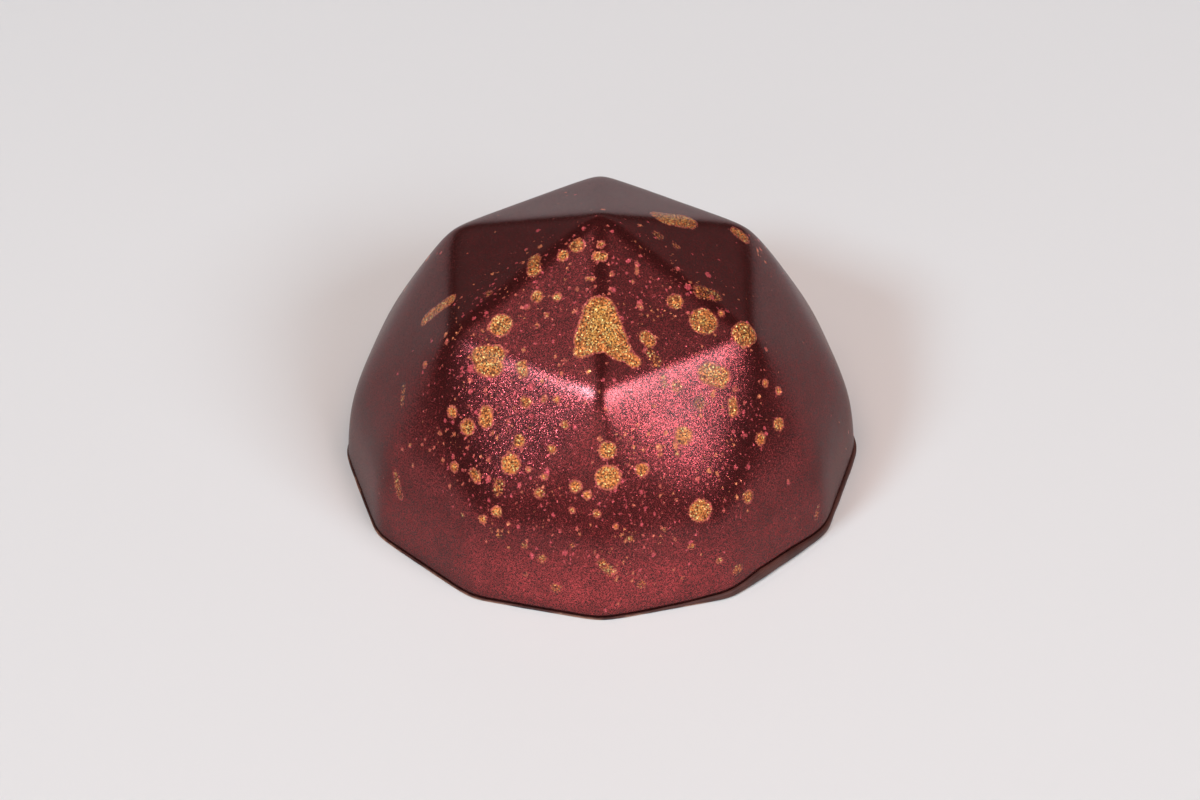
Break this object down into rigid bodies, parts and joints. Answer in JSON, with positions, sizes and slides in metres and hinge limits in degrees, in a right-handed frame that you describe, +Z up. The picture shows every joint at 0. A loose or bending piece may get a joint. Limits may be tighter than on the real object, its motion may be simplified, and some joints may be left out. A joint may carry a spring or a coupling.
{
  "type": "chocolate bonbon",
  "caption": "Moulded chocolate bonbon shaped like a rose-cut gem: a faceted dome with a burgundy pearl coat and gold splashes, closed underneath by a thin layer of bare chocolate.",
  "frame": {"origin": "middle of the flat underside", "axes": "+Z up through the tip of the dome, a corner of the foot towards the front along -Y"},
  "size_m": [0.03, 0.03, 0.0178],
  "materials": {
    "coat": "burgundy cocoa butter with fine pearl flakes, splashed with gold, glossy from a polished mould",
    "bare_chocolate": "bare dark chocolate with a satin sheen"
  },
  "bodies": {
    "root": {"shell": "coat", "base_cap": "bare_chocolate"}
  },
  "joints": []
}
